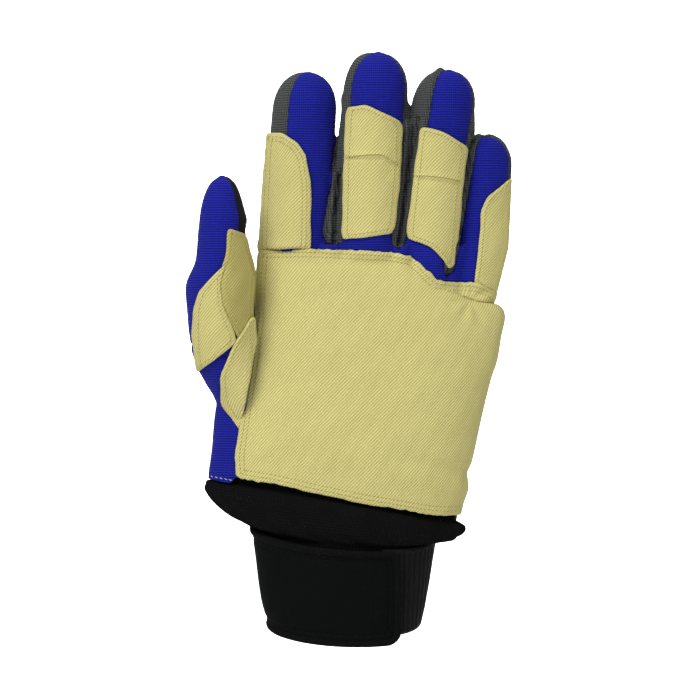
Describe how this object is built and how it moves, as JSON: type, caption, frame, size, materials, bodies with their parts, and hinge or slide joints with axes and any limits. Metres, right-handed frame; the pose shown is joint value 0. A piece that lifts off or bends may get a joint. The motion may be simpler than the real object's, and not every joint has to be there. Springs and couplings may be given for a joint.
{
  "type": "fishing glove",
  "caption": "Left-hand fishing glove: blue knit fingers, thick twill patches over palm and fingers, knit cuff and a wrapped wrist strap, held open.",
  "frame": {"origin": "middle of the wrist opening, level with the cuff's lowest edge", "axes": "+Z from the wrist along the fingers, the palm faces -Y, the thumb lies on the -X side"},
  "size_m": [0.1451, 0.0619, 0.2601],
  "materials": {
    "blue_knit": "fine ribbed stretch knit",
    "grey_mesh": "woven mesh",
    "black_mesh": "woven mesh",
    "twill": "diagonal twill",
    "black_knit": "rib knit",
    "neoprene": "jersey-faced neoprene",
    "rubber": "satin, moulded ribs"
  },
  "bodies": {
    "root": {"palm_trank": "blue_knit", "thumb_panel": "blue_knit", "back_trank": "grey_mesh", "fourchette_index_middle": "grey_mesh", "fourchette_middle_ring": "grey_mesh", "fourchette_ring_little": "grey_mesh", "thumb_back": "black_mesh", "index_patch": "twill", "middle_patch": "twill", "ring_patch": "twill", "little_patch": "twill", "palm_patch": "twill", "under_leaf": "twill", "thumb_outer_patch": "twill", "thumb_inner_patch": "twill", "cuff_knit": "black_knit", "strap": "neoprene", "strap_binding": "neoprene", "rib_grip": "rubber"}
  },
  "joints": []
}
